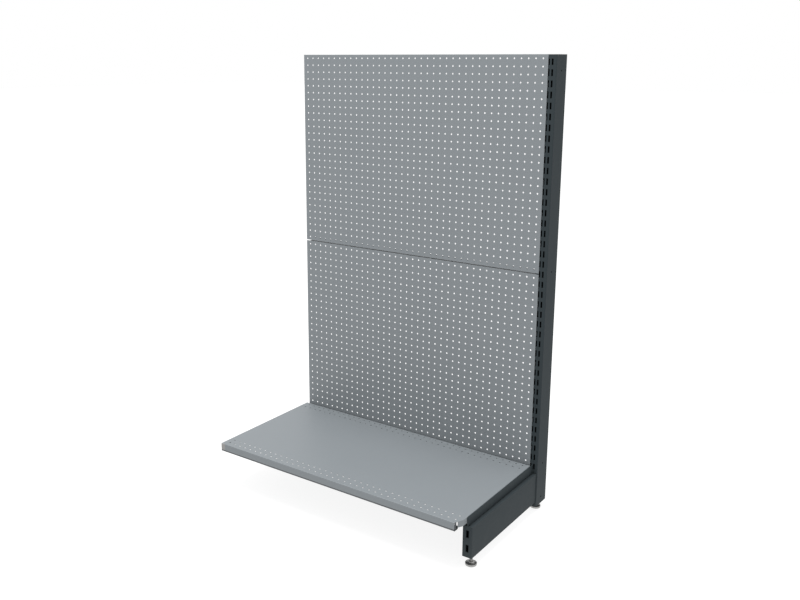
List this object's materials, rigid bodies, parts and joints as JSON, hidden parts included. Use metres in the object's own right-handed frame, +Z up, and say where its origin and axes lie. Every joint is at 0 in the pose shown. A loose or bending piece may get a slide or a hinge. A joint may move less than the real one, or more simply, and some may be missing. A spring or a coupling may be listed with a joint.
{
  "type": "gondola shelving unit",
  "caption": "Single-sided wall gondola add-on bay: slotted upright, base leg with levelling feet, perforated steel back panels and a base shelf.",
  "frame": {"origin": "centre of the bay's footprint, on the floor under the feet", "axes": "+Z up, -Y towards the shopper, +X from the panels towards the upright"},
  "size_m": [1.0176, 0.5774, 1.551],
  "materials": {
    "grey_paint": "satin",
    "anthracite_paint": "satin",
    "zinc": "satin",
    "black_plastic": "matte"
  },
  "bodies": {
    "frame": {"upright": "anthracite_paint", "upright_top_cap": "black_plastic", "upright_foot_plate": "anthracite_paint", "base_leg_channel": "anthracite_paint", "base_leg_spine": "anthracite_paint", "base_leg_hook_bracket": "anthracite_paint", "upper_back_panel": "grey_paint", "lower_back_panel": "grey_paint", "front_foot_weld_nut": "zinc", "rear_foot_weld_nut": "zinc"},
    "shelf": {"base_shelf": "grey_paint", "shelf_stiffeners": "grey_paint"},
    "front_disc": {"front_foot_disc": "zinc"},
    "front_stud": {"front_foot_stud": "zinc"},
    "front_locknut": {"front_foot_locknut": "zinc"},
    "rear_disc": {"rear_foot_disc": "zinc"},
    "rear_stud": {"rear_foot_stud": "zinc"},
    "rear_locknut": {"rear_foot_locknut": "zinc"}
  },
  "joints": [
    {"name": "shelf_lift", "type": "slide", "parent": "frame", "child": "shelf", "axis": [0, 0, 1], "range_m": [0, 0.08]},
    {"name": "front_foot_height", "type": "slide", "parent": "frame", "child": "front_disc", "axis": [0, 0, 1], "range_m": [-0.012, 0]},
    {"name": "front_stud_turn", "type": "hinge", "parent": "front_disc", "child": "front_stud", "pos_m": [0.48875, -0.20775, 0.01], "axis": [0, 0, 1], "range_deg": [-2881, 1]},
    {"name": "front_locknut_turn", "type": "hinge", "parent": "frame", "child": "front_locknut", "pos_m": [0.48875, -0.20775, 0.0342], "axis": [0, 0, 1], "range_deg": [0, 180]},
    {"name": "rear_foot_height", "type": "slide", "parent": "frame", "child": "rear_disc", "axis": [0, 0, 1], "range_m": [-0.012, 0]},
    {"name": "rear_stud_turn", "type": "hinge", "parent": "rear_disc", "child": "rear_stud", "pos_m": [0.48875, 0.24975, 0.01], "axis": [0, 0, 1], "range_deg": [-2881, 1]},
    {"name": "rear_locknut_turn", "type": "hinge", "parent": "frame", "child": "rear_locknut", "pos_m": [0.48875, 0.24975, 0.018], "axis": [0, 0, 1], "range_deg": [0, 180]}
  ],
  "couplings": [
    {"joint": "front_stud_turn", "follows": "front_foot_height", "rad_per_m": 4188.8},
    {"joint": "rear_stud_turn", "follows": "rear_foot_height", "rad_per_m": 4188.8}
  ]
}
